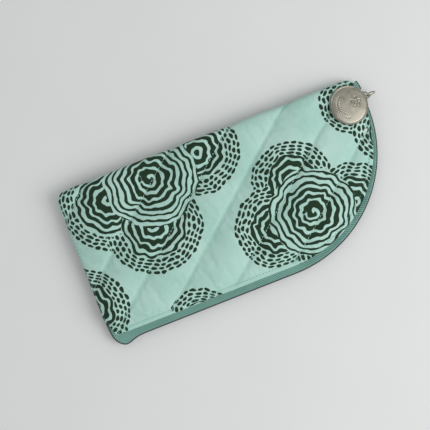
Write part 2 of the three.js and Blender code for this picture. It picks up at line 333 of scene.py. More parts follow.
class Leaf:
    """Outer surface of one leaf: an edge band of rows round the outline, and a filled middle."""

    def __init__(self, front):
        self.front = front
        outer, inner = outline(0), outline(BAND)
        self.count = len(outer)
        left, zip_side, spine, rim = side_weights(outer, front)
        self.outline, self.inner_outline, self.rim = outer, inner, low_rim(rim, front)
        shapes = [profile(p) for p in (LEFT_PROFILE, ZIP_PROFILE, SPINE_PROFILE)]
        weights = [left, zip_side, spine]
        inset = sum(np.outer(shape[0], w) for shape, w in zip(shapes, weights))
        share = sum(np.outer(shape[1], w) for shape, w in zip(shapes, weights))
        plan = outer + (inner - outer) * (inset / BAND)[:, :, None]
        height = front_height if front else back_height
        side = 1 if front else -1
        low = ZIP_PLANE + side * rim
        top = height(inner[:, 0], inner[:, 1])
        band = np.dstack([plan, low + (top - low) * share])
        self.middle, self.fill = self.fill_middle(inner)
        middle = np.column_stack([self.middle, height(self.middle[:, 0], self.middle[:, 1])])
        steps = np.linalg.norm(np.diff(band, axis=0), axis=2)
        reach = np.vstack([np.cumsum(steps[::-1], axis=0)[::-1], np.zeros(self.count)])
        outward = outer - inner
        outward /= np.linalg.norm(outward, axis=1, keepdims=True)
        flat_band = inner + outward * reach[:, :, None]
        self.points = corner_pull(np.vstack([band.reshape(-1, 3), middle]))
        self.flat = np.vstack([flat_band.reshape(-1, 2), self.middle])
        quads = grid_faces(ROWS + 1, self.count, closed_columns=True)
        faces = [tuple(q) for q in quads] + self.fill
        self.faces = faces if front else flipped(faces)
        self.rows = np.concatenate([np.repeat(np.arange(ROWS + 1), self.count),
                                    np.full(len(middle), ROWS)])
        self.zip_share = np.concatenate([np.tile(1 - spine, ROWS + 1), np.zeros(len(middle))])

    def fill_middle(self, loop):
        """Evenly spread points inside the loop, and triangles over them and the loop."""
        margin = BAND + 0.75 * CELL
        ys = np.arange(EDGE["long"] + margin, EDGE["spine"] - margin, CELL * math.sqrt(3) / 2)
        points = []
        for i, y in enumerate(ys):
            xs = np.arange(EDGE["left"] + margin + (i % 2) * CELL / 2, 230, CELL)
            inside = zip_distance(xs, np.full_like(xs, y)) > margin
            points += [(x, y) for x in xs[inside]]
        start = len(loop)
        given = [Vector(p) for p in np.vstack([loop, points])]
        edges = [(i, (i + 1) % start) for i in range(start)]
        made, _, triangles, origin, _, _ = delaunay_2d_cdt(given, edges, [], 1, 1e-7)
        number = {}
        extra = []
        for i, source in enumerate(origin):
            if source and source[0] < start:
                number[i] = ROWS * self.count + source[0]
            else:
                number[i] = (ROWS + 1) * self.count + len(extra)
                extra.append(tuple(made[i]))
        return np.array(extra), [tuple(number[i] for i in t) for t in triangles]


# ---- Quilting ----------------------------------------------------------------------------------

QUILT_ANGLE = math.radians(40)
QUILT_PLACES = [-112.6, -83.8, -55.2, -24, 3, 31.5, 71.7, 100.5, 129.3, 158.1]
QUILT_DEPTH = 1.6
QUILT_WIDTH = 2.3
STITCH = 2.45
quilt_along = np.array([math.cos(QUILT_ANGLE), math.sin(QUILT_ANGLE)])
quilt_across = np.array([-math.sin(QUILT_ANGLE), math.cos(QUILT_ANGLE)])


def from_quilting(flat):
    """Distance on the flat cloth from the nearest line of quilting."""
    across = flat @ quilt_across
    return np.min(np.abs(across[:, None] - np.array(QUILT_PLACES)[None, :]), axis=1)


def valley(flat):
    """Depth of the quilting at places on the flat cloth."""
    away = from_quilting(flat)
    beat = 0.09 * np.cos(2 * math.pi * (flat @ quilt_along) / STITCH)
    soft = np.sqrt(away**2 + 0.3**2) - 0.3
    return QUILT_DEPTH * np.exp(-soft / QUILT_WIDTH) + beat * np.exp(-((away / 1.0) ** 2))


def puckers(points, flat, rows, zip_share):
    """Fine unevenness of the cloth: soft hand-size waves, and pulls along the edge stitching."""
    soft = 0.22 * rough(points, 17.0, 1) + 0.10 * rough(points, 6.5, 2)
    pull = 0.10 * rough(points * np.array([1, 1, 0.4]), 2.6, 3)
    near_edge = np.exp(-(((rows - 9) / 4.0) ** 2)) * zip_share
    return soft + pull * (near_edge + np.exp(-((from_quilting(flat) / 3.5) ** 2)))


# ---- Materials ---------------------------------------------------------------------------------


def linear(red, green, blue):
    """An sRGB colour, 0 to 255, as the linear colour that shaders take."""
    parts = [c / 255 for c in (red, green, blue)]
    return tuple(c / 12.92 if c < 0.04 else ((c + 0.055) / 1.055) ** 2.4 for c in parts) + (1.0,)


class Shader:
    """Short calls for building a node material."""

    def __init__(self, name):
        self.material = bpy.data.materials.new(name)
        self.material.use_nodes = True
        self.tree = self.material.node_tree
        self.tree.nodes.clear()
        self.surface = self.node("ShaderNodeBsdfPrincipled")
        output = self.node("ShaderNodeOutputMaterial")
        self.tree.links.new(self.surface.outputs[0], output.inputs[0])

    def node(self, kind, **settings):
        made = self.tree.nodes.new(kind)
        for key, value in settings.items():
            setattr(made, key, value)
        return made

    def put(self, socket, value):
        if isinstance(value, bpy.types.NodeSocket):
            self.tree.links.new(value, socket)
        elif value is not None:
            socket.default_value = value

    def math(self, operation, *values):
        made = self.node("ShaderNodeMath", operation=operation)
        for socket, value in zip(made.inputs, values):
            self.put(socket, value)
        return made.outputs[0]

    def vector(self, operation, *values):
        made = self.node("ShaderNodeVectorMath", operation=operation)
        for socket, value in zip(made.inputs, values):
            self.put(socket, value)
        return made.outputs["Value" if operation in ("LENGTH", "DISTANCE") else "Vector"]

    def scaled(self, vector, by):
        made = self.node("ShaderNodeVectorMath", operation="SCALE")
        self.put(made.inputs[0], vector)
        self.put(made.inputs["Scale"], by)
        return made.outputs[0]

    def cloth(self):
        """Place on the flat cloth, in millimetres."""
        return self.scaled(self.node("ShaderNodeUVMap", uv_map="cloth").outputs[0], 1000)

    def place(self):
        """Place in the object, in millimetres."""
        return self.scaled(self.node("ShaderNodeTexCoord").outputs["Object"], 1000)

    def noise(self, vector, scale, detail=2.0, roughness=0.5):
        made = self.node("ShaderNodeTexNoise")
        self.put(made.inputs["Vector"], vector)
        made.inputs["Scale"].default_value = scale
        made.inputs["Detail"].default_value = detail
        made.inputs["Roughness"].default_value = roughness
        return made.outputs

    def range(self, value, low, high, to_low=0.0, to_high=1.0):
        made = self.node("ShaderNodeMapRange", interpolation_type="SMOOTHSTEP")
        for socket, given in zip(made.inputs, (value, low, high, to_low, to_high)):
            self.put(socket, given)
        return made.outputs[0]

    def choose(self, factor, a, b, kind="RGBA"):
        made = self.node("ShaderNodeMix", data_type=kind)
        self.put(made.inputs[0], factor)
        first = {"FLOAT": 2, "VECTOR": 4, "RGBA": 6}[kind]
        self.put(made.inputs[first], a)
        self.put(made.inputs[first + 1], b)
        return made.outputs[{"FLOAT": 0, "VECTOR": 1, "RGBA": 2}[kind]]

    def parts(self, vector):
        made = self.node("ShaderNodeSeparateXYZ")
        self.put(made.inputs[0], vector)
        return made.outputs

    def bump(self, height, strength, distance):
        made = self.node("ShaderNodeBump")
        made.inputs["Strength"].default_value = strength
        made.inputs["Distance"].default_value = distance
        self.put(made.inputs["Height"], height)
        return made.outputs[0]

    def finish(self, colour, roughness, normal=None, **values):
        self.put(self.surface.inputs["Base Color"], colour)
        self.put(self.surface.inputs["Roughness"], roughness)
        self.put(self.surface.inputs["Normal"], normal)
        for name, value in values.items():
            self.surface.inputs[name.replace("_", " ")].default_value = value
        return self.material


def woven(shader, place, pitch, depth):
    """Plain weave of a pitch in millimetres: its height, and the normal it gives."""
    x, y, _ = shader.parts(shader.scaled(place, 2 * math.pi / pitch))
    warp = shader.math("SINE", x)
    weft = shader.math("SINE", y)
    over = shader.math("MULTIPLY", warp, weft)
    fluff = shader.noise(place, 3.5 / pitch, 3.0)[0]
    height = shader.math("MULTIPLY_ADD", over, 0.5, fluff)
    return height, shader.bump(height, 0.55, depth * MM)


MINT = linear(178, 213, 202)
MINT_DEEP = linear(160, 201, 188)
PRINT_GREEN = linear(6, 40, 15)

# Rosettes of the print on the flat cloth: centre, radius of the rings, and whether a rosette lies
# over the others. The small ones end in rows of dashes.
FRONT_PRINT = [
    (34, 96, 24, False), (58, 68, 23, False), (104, 105, 19.5, False), (72, 131, 23, False),
    (158.5, 62, 17.5, False), (136, 36, 18, False), (195, 32, 18, False), (170, 6, 16, False),
    (-6, 30, 18, False), (65, -4, 11, False), (217, 98, 12, False), (233, 71, 12, False),
    (67, 98.6, 33, True), (164.5, 36, 31, True),
]
BACK_PRINT = [
    (34, 96, 25, False), (98, 101, 24, False), (72, 131, 24, False), (67, 98.6, 33, True),
    (145, 140, 20, False), (182, 148, 20, False), (158, 176, 19, False),
    (26, 168, 22, False), (62, 190, 21, False), (24, 205, 19, False),
    (206, 205, 20, False), (118, 226, 16, False), (162, 150, 30, True), (38, 186, 29, True),
]
DASH_ROWS = 4
DASH_PITCH = 2.75
DASH_SPACING = 4.9
WAVES = 9


def print_mask(shader, place, rosettes):
    """1 where the print is: wavy rings round each rosette, with dashes outside the small ones."""
    flat = shader.vector("MULTIPLY", place, (1, 1, 0))
    drift = shader.vector("SUBTRACT", shader.noise(flat, 0.085, 1.0)[1], (0.5, 0.5, 0.5))
    drift = shader.vector("MULTIPLY", drift, (5.6, 5.6, 0))
    spot = shader.vector("ADD", flat, drift)
    chosen = (0, 0, 0)
    distances = {}

    def lay(chosen, rosette, reach, code):
        x, y, _, _ = rosette
        if rosette not in distances:
            distances[rosette] = shader.vector("DISTANCE", spot, (x, y, 0))
        near = shader.math("LESS_THAN", distances[rosette], reach)
        local = shader.vector("SUBTRACT", spot, (x, y, -code))
        return shader.choose(near, chosen, local, "VECTOR")

    small = [r for r in rosettes if not r[3]]
    for rosette in small:
        chosen = lay(chosen, rosette, rosette[2] + DASH_ROWS * DASH_PITCH, rosette[2])
    for rosette in small:
        chosen = lay(chosen, rosette, rosette[2], 100)
    for rosette in (r for r in rosettes if r[3]):
        chosen = lay(chosen, rosette, rosette[2], 200)

    x, y, code = shader.parts(chosen)
    angle = shader.math("ARCTAN2", y, x)
    turns = shader.math("MULTIPLY", angle, 1 / (2 * math.pi))
    radius = shader.vector("LENGTH", shader.vector("MULTIPLY", chosen, (1, 1, 0)))
    big = shader.math("GREATER_THAN", code, 150)
    solid = shader.math("GREATER_THAN", code, 50)
    sway = shader.math("MULTIPLY", shader.noise(flat, 0.06, 1.0)[0], 9)
    wave = shader.math("SINE", shader.math("MULTIPLY_ADD", angle, WAVES, sway))
    wave = shader.math("MULTIPLY", wave, shader.range(radius, 3, 15, 0, 0.8))
    reach = shader.math("ADD", radius, wave)
    # Rings are 6 mm apart at the middle and 4 mm apart at the outside, and the middle curls.
    phase = shader.math("MULTIPLY", reach, shader.math("MULTIPLY_ADD", reach, 0.0017, 0.153))
    curl = shader.math("MULTIPLY", big, shader.range(radius, 5, 8, 1, 0))
    phase = shader.math("ADD", phase, shader.math("MULTIPLY", turns, curl))
    ring = shader.math("COSINE", shader.math("MULTIPLY", phase, 2 * math.pi))
    uneven = shader.math("SUBTRACT", shader.noise(flat, 0.22, 1.0)[0], 0.5)
    line = shader.range(reach, 14, 24, -0.42, 0.26)
    line = shader.math("MULTIPLY_ADD", uneven, 1.5, line)
    rings = shader.range(ring, shader.math("SUBTRACT", line, 0.13), shader.math("ADD", line, 0.13))

    rowed = shader.math("DIVIDE", shader.math("SUBTRACT", radius, code), DASH_PITCH)
    number = shader.math("FLOOR", rowed)
    middle = shader.math("MULTIPLY_ADD", number, DASH_PITCH, code)
    count = shader.math("ROUND", shader.math("MULTIPLY", middle, 2 * math.pi / DASH_SPACING))
    beat = shader.math("MULTIPLY_ADD", turns, count, shader.math("MULTIPLY", number, 0.5))
    along_dash = shader.math("SUBTRACT", shader.math("FRACT", beat), 0.5)
    across_dash = shader.math("SUBTRACT", shader.math("FRACT", rowed), 0.5)
    a = shader.math("POWER", shader.math("DIVIDE", shader.math("ABSOLUTE", along_dash), 0.4), 2)
    b = shader.math("POWER", shader.math("DIVIDE", shader.math("ABSOLUTE", across_dash), 0.39), 2)
    oval = shader.math("ADD", shader.math("ADD", a, b), shader.math("MULTIPLY", uneven, 1.1))
    dashes = shader.range(oval, 1.12, 0.88)
    dashes = shader.math("MULTIPLY", dashes, shader.math("GREATER_THAN", code, 2))
    return shader.choose(solid, dashes, rings, "FLOAT")


def printed_cotton(name, rosettes):
    shader = Shader(name)
    place = shader.cloth()
    height, weave = woven(shader, place, 0.42, 0.05)
    mask = print_mask(shader, place, rosettes)
    cloud = shader.noise(place, 0.03, 4.0)[0]
    ground = shader.choose(shader.range(cloud, 0.3, 0.7), MINT_DEEP, MINT)
    # Painted highlight: the ground and the ink are mixed towards lighter colours on the crowns of the
    # weave.
    ground = shader.choose(shader.math("MULTIPLY", height, 0.16), ground, linear(196, 232, 222))
    ink = shader.choose(shader.math("MULTIPLY", height, 0.1), PRINT_GREEN, linear(40, 88, 54))
    colour = shader.choose(mask, ground, ink)
    return shader.finish(colour, 0.9, weave, Sheen_Weight=0.04, Sheen_Roughness=0.5)


def plain_cotton(name, colour, light, pitch=0.45):
    shader = Shader(name)
    place = shader.cloth()
    height, weave = woven(shader, place, pitch, 0.06)
    cloud = shader.math("MULTIPLY", shader.noise(place, 0.05, 4.0)[0], 0.5)
    # Painted highlight: the colour goes towards light on the crowns of the weave; the cloud adds an
    # uneven lighter tone of the cloth.
    amount = shader.math("MULTIPLY_ADD", height, 0.3, cloud)
    return shader.finish(
        shader.choose(amount, colour, light), 0.9, weave, Sheen_Weight=0.12, Sheen_Roughness=0.5
    )


def fleecy_wadding():
    shader = Shader("wadding_fleece")
    place = shader.place()
    fibres = shader.noise(place, 1.6, 8.0, 0.7)[0]
    colour = shader.choose(fibres, linear(216, 216, 208), linear(246, 246, 242))
    return shader.finish(colour, 0.97, shader.bump(fibres, 0.7, 0.3 * MM), Sheen_Weight=0.3)


def ribbed_tape():
    """Twill tape: ribs across the tape, crossed by fine threads, its colour painted darker in the
    hollows between them and lighter on their crowns.
    """
    shader = Shader("zip_tape_twill")
    place = shader.cloth()
    x, y, _ = shader.parts(place)
    slant = shader.math("ADD", x, shader.math("MULTIPLY", y, 0.6))
    ribs = shader.math("SINE", shader.math("MULTIPLY", slant, 2 * math.pi / 1.55))
    threads = shader.math("SINE", shader.math("MULTIPLY", y, 2 * math.pi / 0.38))
    fluff = shader.noise(place, 5.0, 3.0)[0]
    height = shader.math("MULTIPLY_ADD", threads, 0.22, shader.math("MULTIPLY", ribs, 0.5))
    height = shader.math("ADD", height, shader.math("MULTIPLY", fluff, 0.5))
    # Painted shade and highlight: the colour runs from dark in the hollows of the ribs and threads to
    # light on their crowns; the cloud adds an uneven tone.
    amount = shader.range(height, -0.5, 1.0)
    cloud = shader.math("MULTIPLY", shader.noise(place, 0.08, 3.0)[0], 0.35)
    colour = shader.choose(
        shader.math("ADD", shader.math("MULTIPLY", amount, 0.75), cloud),
        linear(34, 80, 70), linear(150, 202, 189),
    )
    return shader.finish(colour, 0.8, shader.bump(height, 0.9, 0.16 * MM), Sheen_Weight=0.1)


def nylon_coil():
    shader = Shader("coil_nylon")
    spots = shader.noise(shader.place(), 0.9, 3.0)[0]
    colour = shader.choose(spots, linear(30, 26, 32), linear(66, 58, 66))
    return shader.finish(colour, shader.range(spots, 0.2, 0.8, 0.32, 0.5))


def plated_nickel():
    """Warm nickel plate with faint polishing marks, and duller in patches."""
    shader = Shader("nickel_plate")
    place = shader.place()
    stretched = shader.vector("MULTIPLY", place, (0.25, 3.0, 1.0))
    marks = shader.noise(stretched, 2.2, 6.0, 0.65)[0]
    patches = shader.noise(place, 0.16, 3.0)[0]
    shade = shader.range(patches, 0.32, 0.68)
    colour = shader.choose(shade, linear(141, 138, 126), linear(163, 160, 147))
    dullness = shader.math("MULTIPLY_ADD", marks, 0.16, shader.range(patches, 0.3, 0.7, 0.27, 0.36))
    return shader.finish(colour, dullness, shader.bump(marks, 0.12, 0.03 * MM), Metallic=1.0)


def satin_label():
    shader = Shader("label_satin")
    place = shader.cloth()
    y = shader.parts(place)[1]
    threads = shader.math("SINE", shader.math("MULTIPLY", y, 2 * math.pi / 0.3))
    cloud = shader.noise(place, 0.4, 3.0)[0]
    colour = shader.choose(cloud, linear(222, 225, 218), linear(240, 242, 236))
    return shader.finish(colour, 0.45, shader.bump(threads, 0.3, 0.02 * MM), Sheen_Weight=0.2)


def sewing_thread(name, colour, light):
    """Twisted thread, with painted highlight on the ridges of its twist."""
    shader = Shader(name)
    x, y, _ = shader.parts(shader.place())
    twist = shader.math("SINE", shader.math("MULTIPLY", shader.math("ADD", x, y), 2 * math.pi / 0.35))
    # Painted highlight: the colour goes towards light on the ridges of the twist.
    amount = shader.range(twist, -1, 1)
    return shader.finish(
        shader.choose(amount, colour, light), 0.6, shader.bump(twist, 0.4, 0.03 * MM), Sheen_Weight=0.1
    )


def pale_table():
    shader = Shader("table_paint")
    grain = shader.noise(shader.place(), 0.02, 5.0)[0]
    colour = shader.choose(grain, linear(222, 223, 222), linear(226, 227, 226))
    return shader.finish(colour, 0.85)


front_cotton = printed_cotton("printed_cotton_front", FRONT_PRINT)
back_cotton = printed_cotton("printed_cotton_back", BACK_PRINT)
# The second colour of each plain cloth is its painted highlight on the crowns of the weave, and also
# its lighter uneven tone.
lining_cotton = plain_cotton("lining_cotton", linear(138, 190, 172), linear(176, 222, 208))
binding_cotton = plain_cotton("binding_cotton", linear(18, 58, 34), linear(44, 92, 60), 0.4)
fleece = fleecy_wadding()
twill = ribbed_tape()
nylon = nylon_coil()
nickel = plated_nickel()
satin = satin_label()
# The second colour of each thread is its painted highlight on the ridges of its twist.
mint_thread = sewing_thread("mint_thread", linear(150, 206, 190), linear(196, 236, 224))
teal_thread = sewing_thread("teal_thread", linear(84, 146, 128), linear(120, 180, 162))
green_thread = sewing_thread("green_thread", linear(20, 60, 36), linear(50, 100, 70))


# ---- Leaves, wadding and lining ------------------------------------------------------------------

COVER = 0.7
LINING = 0.4
FOLD_ROW = 11  # row of the edge band where the edge stitching runs
SOFT_LIMIT = 0.2  # how gradually the layers flatten against their limit at the zip


def dress(piece, slot, *nodes):
    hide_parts(*nodes)
    return piece


INNER_BEND = (2.6, 9.0)  # distances in from the spine's face, given for the wadding and the lining


def bend(piece, front, outer=0.3, inner=7.0):
    """A leaf's soft piece has its placement baked into its mesh; it doesn't turn about a fold line. The
    two distances from the spine's face, outer and inner, are not used.
    """
    if front:
        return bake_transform(piece)
    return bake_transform(piece)


def profile_reach():
    """Flat width of the band that rolls over the spine, at full height."""
    steps = np.diff(along(SPINE_PROFILE, ROWS + 1), axis=0)
    return np.linalg.norm(steps, axis=1).sum()


# Flat width of the one cut of cloth that covers both leaves and the spine, zip edge to zip edge.
SPINE_HEIGHT = spine_strip(60.0, True) + spine_strip(60.0, False)
COVER_FLAT = 2 * (WIDTH - BAND + profile_reach()) + SPINE_HEIGHT


SIMULATED_STEPS = 12
SIMULATED_SCALE = 20.0  # the cloth solver works best on a cloth metres wide
MOST_PUFF = 1.5  # how far the simulation may move the cloth
# The charm's way over the front leaf, round the curved end: where it starts along the case, how
# far in from the zip it reaches, how soft both of its edges are, and the share of puff it takes.
CHARM_WAY = {"start": 120.0, "start_edge": 20.0, "reach": 32.0, "reach_edge": 10.0, "takes": 0.65}


def puffed(leaf, push):
    """The quilted cloth after a cloth simulation: it is a little too large for its outline, is held
    by its seams and the quilting, and the wadding pushes it out."""
    mesh = bpy.data.meshes.new("cloth_at_work")
    mesh.from_pydata((leaf.outer * MM * SIMULATED_SCALE).tolist(), [], [list(f) for f in leaf.faces])
    cloth = bpy.data.objects.new("cloth_at_work", mesh)
    bpy.context.collection.objects.link(cloth)
    near_quilting = np.exp(-((from_quilting(leaf.cloth_flat) / 0.9) ** 2))
    held = np.maximum(near_quilting, 1 - smooth((leaf.rows - FOLD_ROW) / 4))
    pins = cloth.vertex_groups.new(name="pins")
    levels = 8
    for level in range(3, levels + 1):
        chosen = np.nonzero(np.round(held * levels) == level)[0]
        pins.add(chosen.tolist(), level / levels, "REPLACE")
    modifier = cloth.modifiers.new("cloth", "CLOTH")
    settings = modifier.settings
    settings.quality = 6
    settings.tension_stiffness = settings.compression_stiffness = 20
    settings.tension_damping = settings.compression_damping = 20
    settings.bending_stiffness = 0.3
    settings.air_damping = 4
    settings.vertex_group_mass = "pins"
    settings.pin_stiffness = 5
    settings.shrink_min = -0.015
    settings.use_pressure = True
    settings.uniform_pressure_force = push
    settings.effector_weights.gravity = 0
    modifier.collision_settings.use_collision = False
    for step in range(1, SIMULATED_STEPS + 1):
        bpy.context.scene.frame_set(step)
    worked = cloth.evaluated_get(bpy.context.evaluated_depsgraph_get()).to_mesh()
    points = np.zeros(len(leaf.outer) * 3)
    worked.vertices.foreach_get("co", points)
    bpy.data.objects.remove(cloth)
    bpy.data.meshes.remove(mesh)
    bpy.context.scene.frame_set(1)
    moved = points.reshape(-1, 3) / MM / SIMULATED_SCALE - leaf.outer
    length = np.linalg.norm(moved, axis=1, keepdims=True)
    x, y = leaf.points[:, 0], leaf.points[:, 1]
    past_start = smooth((x - CHARM_WAY["start"]) / CHARM_WAY["start_edge"])
    past_reach = smooth((zip_distance(x, y) - CHARM_WAY["reach"]) / CHARM_WAY["reach_edge"])
    passed = past_start * (1 - past_reach)
    most = MOST_PUFF * (1 - CHARM_WAY["takes"] * passed * leaf.front)
    return leaf.outer + moved * np.minimum(1, most[:, None] / np.maximum(length, 1e-6))


def build_leaf(front):
    """The leaf with its cloth's flat places, and its outer surface quilted and puckered."""
    leaf = Leaf(front)
    leaf.normal = normals_of(leaf.points, leaf.faces)
    leaf.cloth_flat = leaf.flat if front else np.column_stack(
        [leaf.flat[:, 0], COVER_FLAT - leaf.flat[:, 1]]
    )
    quilt = valley(leaf.cloth_flat)
    leaf.puff = 1 - np.clip(quilt / QUILT_DEPTH, 0, 1)
    leaf.sink = quilt * mix(1.0, smooth((leaf.rows - 5) / 11), leaf.zip_share)
    wave = puckers(leaf.points, leaf.flat, leaf.rows, leaf.zip_share) * smooth(leaf.rows / 5)
    leaf.wave = wave if front else 0.6 * np.minimum(wave, 0)
    leaf.outer = leaf.points + leaf.normal * (leaf.wave - leaf.sink)[:, None]
    leaf.outer = puffed(leaf, 0.8 if front else 0.5)
    if not front:
        leaf.outer[:, 2] = np.maximum(leaf.outer[:, 2], 0.02)
    return leaf


def past_zip(leaf):
    """1 along the stretches of the edge that the zip doesn't reach, and 0 along the zip."""
    x, y = leaf.outline.T
    tip_start = 102.5 if leaf.front else 94.0
    return smooth((y - np.where(x < 100, ZIP_START, tip_start)) / 3)


def inner_surface(leaf, depth, rim_inset, rim_gap, spine_inset=0.0, past_inset=0.0, short=False):
    """A surface under the leaf's cloth, which stays a gap away from the cloth's rim on the zip side.
    It ends at an inset from the silhouette along the zip, at another along the spine and at a third
    past the zip's ends. A short one ends where the edge starts to roll over, except along the zip."""
    points = leaf.points + leaf.normal * (leaf.wave - depth)[:, None]
    side = 1 if leaf.front else -1
    limit = ZIP_PLANE + side * (RIM + rim_gap)
    count = leaf.count
    past = past_zip(leaf)
    insets = mix(spine_inset, mix(rim_inset, past_inset, past), leaf.zip_share[:count])[:, None]
    plan = leaf.outline + (leaf.inner_outline - leaf.outline) * (insets / BAND)
    rim = np.column_stack([plan, leaf.rim + side * rim_gap])
    rim = corner_pull(rim)
    not_spine = leaf.zip_share > 0.5
    room = side * (points[not_spine, 2] - limit)
    points[not_spine, 2] = limit + side * SOFT_LIMIT * np.logaddexp(0, room / SOFT_LIMIT)
    fold = points[FOLD_ROW * count:(FOLD_ROW + 1) * count]
    if short:
        next_row = points[(FOLD_ROW + 1) * count:(FOLD_ROW + 2) * count]
        shares = np.maximum(1 - leaf.zip_share[:count], past)[:, None]
        rim = mix(rim, fold + 0.5 * (fold - next_row) * np.array([1, 1, 0]), shares)
    for r in range(FOLD_ROW):
        points[r * count:(r + 1) * count] = mix(rim, fold, r / FOLD_ROW)
    return points


def shell(name, outer, inner, leaf, material):
    """A closed layer between two surfaces that share the leaf's faces."""
    count = len(outer)
    faces = list(leaf.faces) + [tuple(i + count for i in reversed(f)) for f in leaf.faces]
    for a in range(leaf.count):
        b = (a + 1) % leaf.count
        rim = (a, a + count, b + count, b)
        faces.append(rim if leaf.front else tuple(reversed(rim)))
    points = np.vstack([outer, inner])
    return mesh_piece(name, points, faces, material, np.vstack([leaf.cloth_flat] * 2))


def leaf_layers(leaf):
    """Printed cover, wadding and lining of one leaf."""
    side = "front" if leaf.front else "back"
    print_cloth = front_cotton if leaf.front else back_cotton
    below = leaf.outer - leaf.normal * COVER * (0.35 + 0.65 * smooth(leaf.rows / 4))[:, None]
    cover = shell(side + "_cover", leaf.outer, below, leaf, print_cloth)
    dress(cover, "printed_cotton", side + "_outer_panel")
    bend(cover, leaf.front)

    bottom_depth = 2.15 + 0.35 * leaf.puff
    top_depth = np.minimum(leaf.sink + COVER + 0.12, bottom_depth - 0.15)
    top = inner_surface(leaf, top_depth, 2.9, 0.95, short=True)
    bottom = inner_surface(leaf, bottom_depth, 3.1, 0.65, short=True)
    pad = shell(side + "_wadding_pad", top, bottom, leaf, fleece)
    dress(pad, "wadding", side + "_wadding")
    bend(pad, leaf.front, *INNER_BEND)

    depth = 2.3 + 0.7 * leaf.puff
    top = inner_surface(leaf, depth, 2.4, 0.4, 2.75, 1.0)
    bottom = inner_surface(leaf, depth + LINING, 2.6, 0.1, 3.1, 1.5)
    leaf.inside = bottom
    lining = shell(side + "_lining_cloth", top, bottom, leaf, lining_cotton)
    dress(lining, "lining_cotton", side + "_lining")
    bend(lining, leaf.front, *INNER_BEND)


front_leaf = build_leaf(True)
back_leaf = build_leaf(False)
leaf_layers(front_leaf)
leaf_layers(back_leaf)


# ---- Stitches ------------------------------------------------------------------------------------


STITCH_SHARE = 0.74  # of the pitch, the rest is the gap
STITCH_POINTS = 5


def stitch(path, radius):
    """One stitch along a short path, with round ends that dip into the cloth."""
    sides = 6
    count = len(path)
    made, faces = tube(path, 1.0, sides)
    middle = np.repeat(path, sides, axis=0)
    t = np.repeat(np.linspace(-1, 1, count), sides)[:, None]
    return middle + (made - middle) * radius * np.sqrt(1.02 - t**2), faces


def stitch_runs(first, last, share=STITCH_SHARE, count=STITCH_POINTS):
    """Places along a seam of the points of each of its stitches."""
    starts = np.arange(first, last - STITCH, STITCH)
    return [np.linspace(start, start + STITCH * share, count) for start in starts]


def stitch_row(paths, name, material, radius=0.17):
    points, faces = merged([stitch(path, radius) for path in paths])
    return mesh_piece(name, points, faces, material)


def edge_stitches(leaf):
    """Paths of the stitches that run along the zip, a little inside the cloth's folded edge."""
    ends = np.cumsum(list(STEPS.values()))
    fold = leaf.outer[FOLD_ROW * leaf.count:(FOLD_ROW + 1) * leaf.count]
    lift = leaf.normal[FOLD_ROW * leaf.count:(FOLD_ROW + 1) * leaf.count]
    order = np.concatenate([np.arange(ends[5], leaf.count), np.arange(0, ends[2])])
    line = along(fold[order] + 0.06 * lift[order], 1800)
    lengths = run_lengths(line)
    return [at_runs(run, lengths, line) for run in stitch_runs(1.0, lengths[-1], 0.58, 6)]


def quilting_stitches(leaf, surface, first_row):
    """Paths of the stitches in the quilting valleys of one of the leaf's surfaces, from a row of
    the edge band inwards."""
    flat = np.column_stack([leaf.cloth_flat, np.zeros(len(leaf.cloth_flat))])
    tree = BVHTree.FromPolygons(flat.tolist(), leaf.faces)
    paths = []
    for across in QUILT_PLACES:
        for start in np.arange(-60, 330, STITCH):
            path = []
            for run in np.linspace(start, start + STITCH * STITCH_SHARE, STITCH_POINTS):
                spot = across * quilt_across + run * quilt_along
                found, _, face, distance = tree.find_nearest((*spot, 0), 0.3)
                if face is None or distance > 0.05 or leaf.rows[leaf.faces[face][0]] < first_row:
                    break
                corners = list(leaf.faces[face])
                weights = np.array(poly_3d_calc([Vector(flat[i]) for i in corners], found))[:, None]
                path.append((surface[corners] * weights).sum(0))
            if len(path) == STITCH_POINTS:
                paths.append(np.array(path))
    return paths


def sew(leaf):
    side = "front" if leaf.front else "back"
    outside = leaf.outer + 0.05 * leaf.normal
    outer_rows = (("edge", edge_stitches(leaf), teal_thread),
                  ("quilting", quilting_stitches(leaf, outside, 0), mint_thread))
    for kind, paths, thread in outer_rows:
        row_of = stitch_row(paths, f"{side}_{kind}_stitches", thread, 0.22)
        bend(row_of, leaf.front)
    paths = quilting_stitches(leaf, leaf.inside, ROWS)
    row_of = stitch_row(paths, f"{side}_lining_stitches", mint_thread, 0.22)
    bend(row_of, leaf.front, *INNER_BEND)


# ---- Spine ---------------------------------------------------------------------------------------


def spine_columns():
    """Point numbers of a leaf's rim along the spine, from the tip to the square end."""
    ends = np.cumsum(list(STEPS.values()))
    return np.arange(ends[3], ends[4] + 1)


